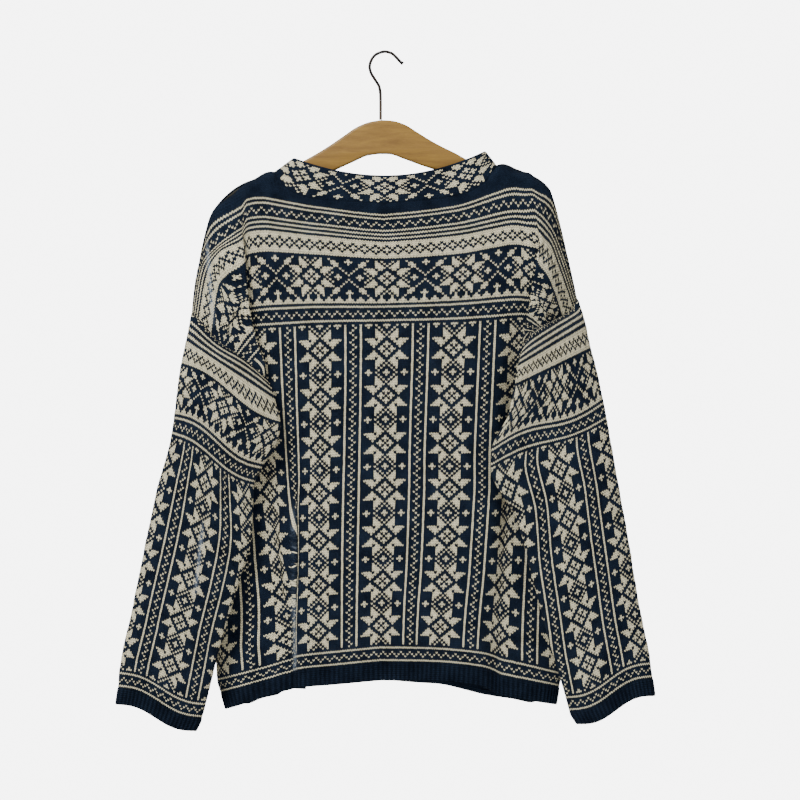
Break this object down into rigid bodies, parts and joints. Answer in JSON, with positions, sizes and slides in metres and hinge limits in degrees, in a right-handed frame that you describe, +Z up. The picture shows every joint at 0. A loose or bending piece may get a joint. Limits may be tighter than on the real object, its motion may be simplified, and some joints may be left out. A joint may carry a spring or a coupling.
{
  "type": "knitted wool sweater on a wooden hanger",
  "caption": "Boat-neck knitted wool sweater with star bands and drop shoulders, hanging on a flat wooden hanger with a wire hook",
  "frame": {"origin": "inner top of the hook's bend, where the hook bears on a rail", "axes": "+Z up, the sweater's front faces -Y, +X to the viewer's right when looking at the front"},
  "size_m": [0.6979, 0.0962, 0.8832],
  "materials": {
    "wool": "navy and cream two-colour knit",
    "wool_rib": "navy ribbed knit",
    "hanger_wood": "clear-varnished beech",
    "hook_wire": "dark blackened wire"
  },
  "bodies": {
    "root": {"front": "wool", "back": "wool", "neck_band": "wool", "sleeve_left": "wool", "sleeve_right": "wool", "hem_rib_front": "wool_rib", "hem_rib_back": "wool_rib", "cuff_left": "wool_rib", "cuff_right": "wool_rib", "hanger_wood": "hanger_wood", "hanger_hook": "hook_wire"}
  },
  "joints": []
}
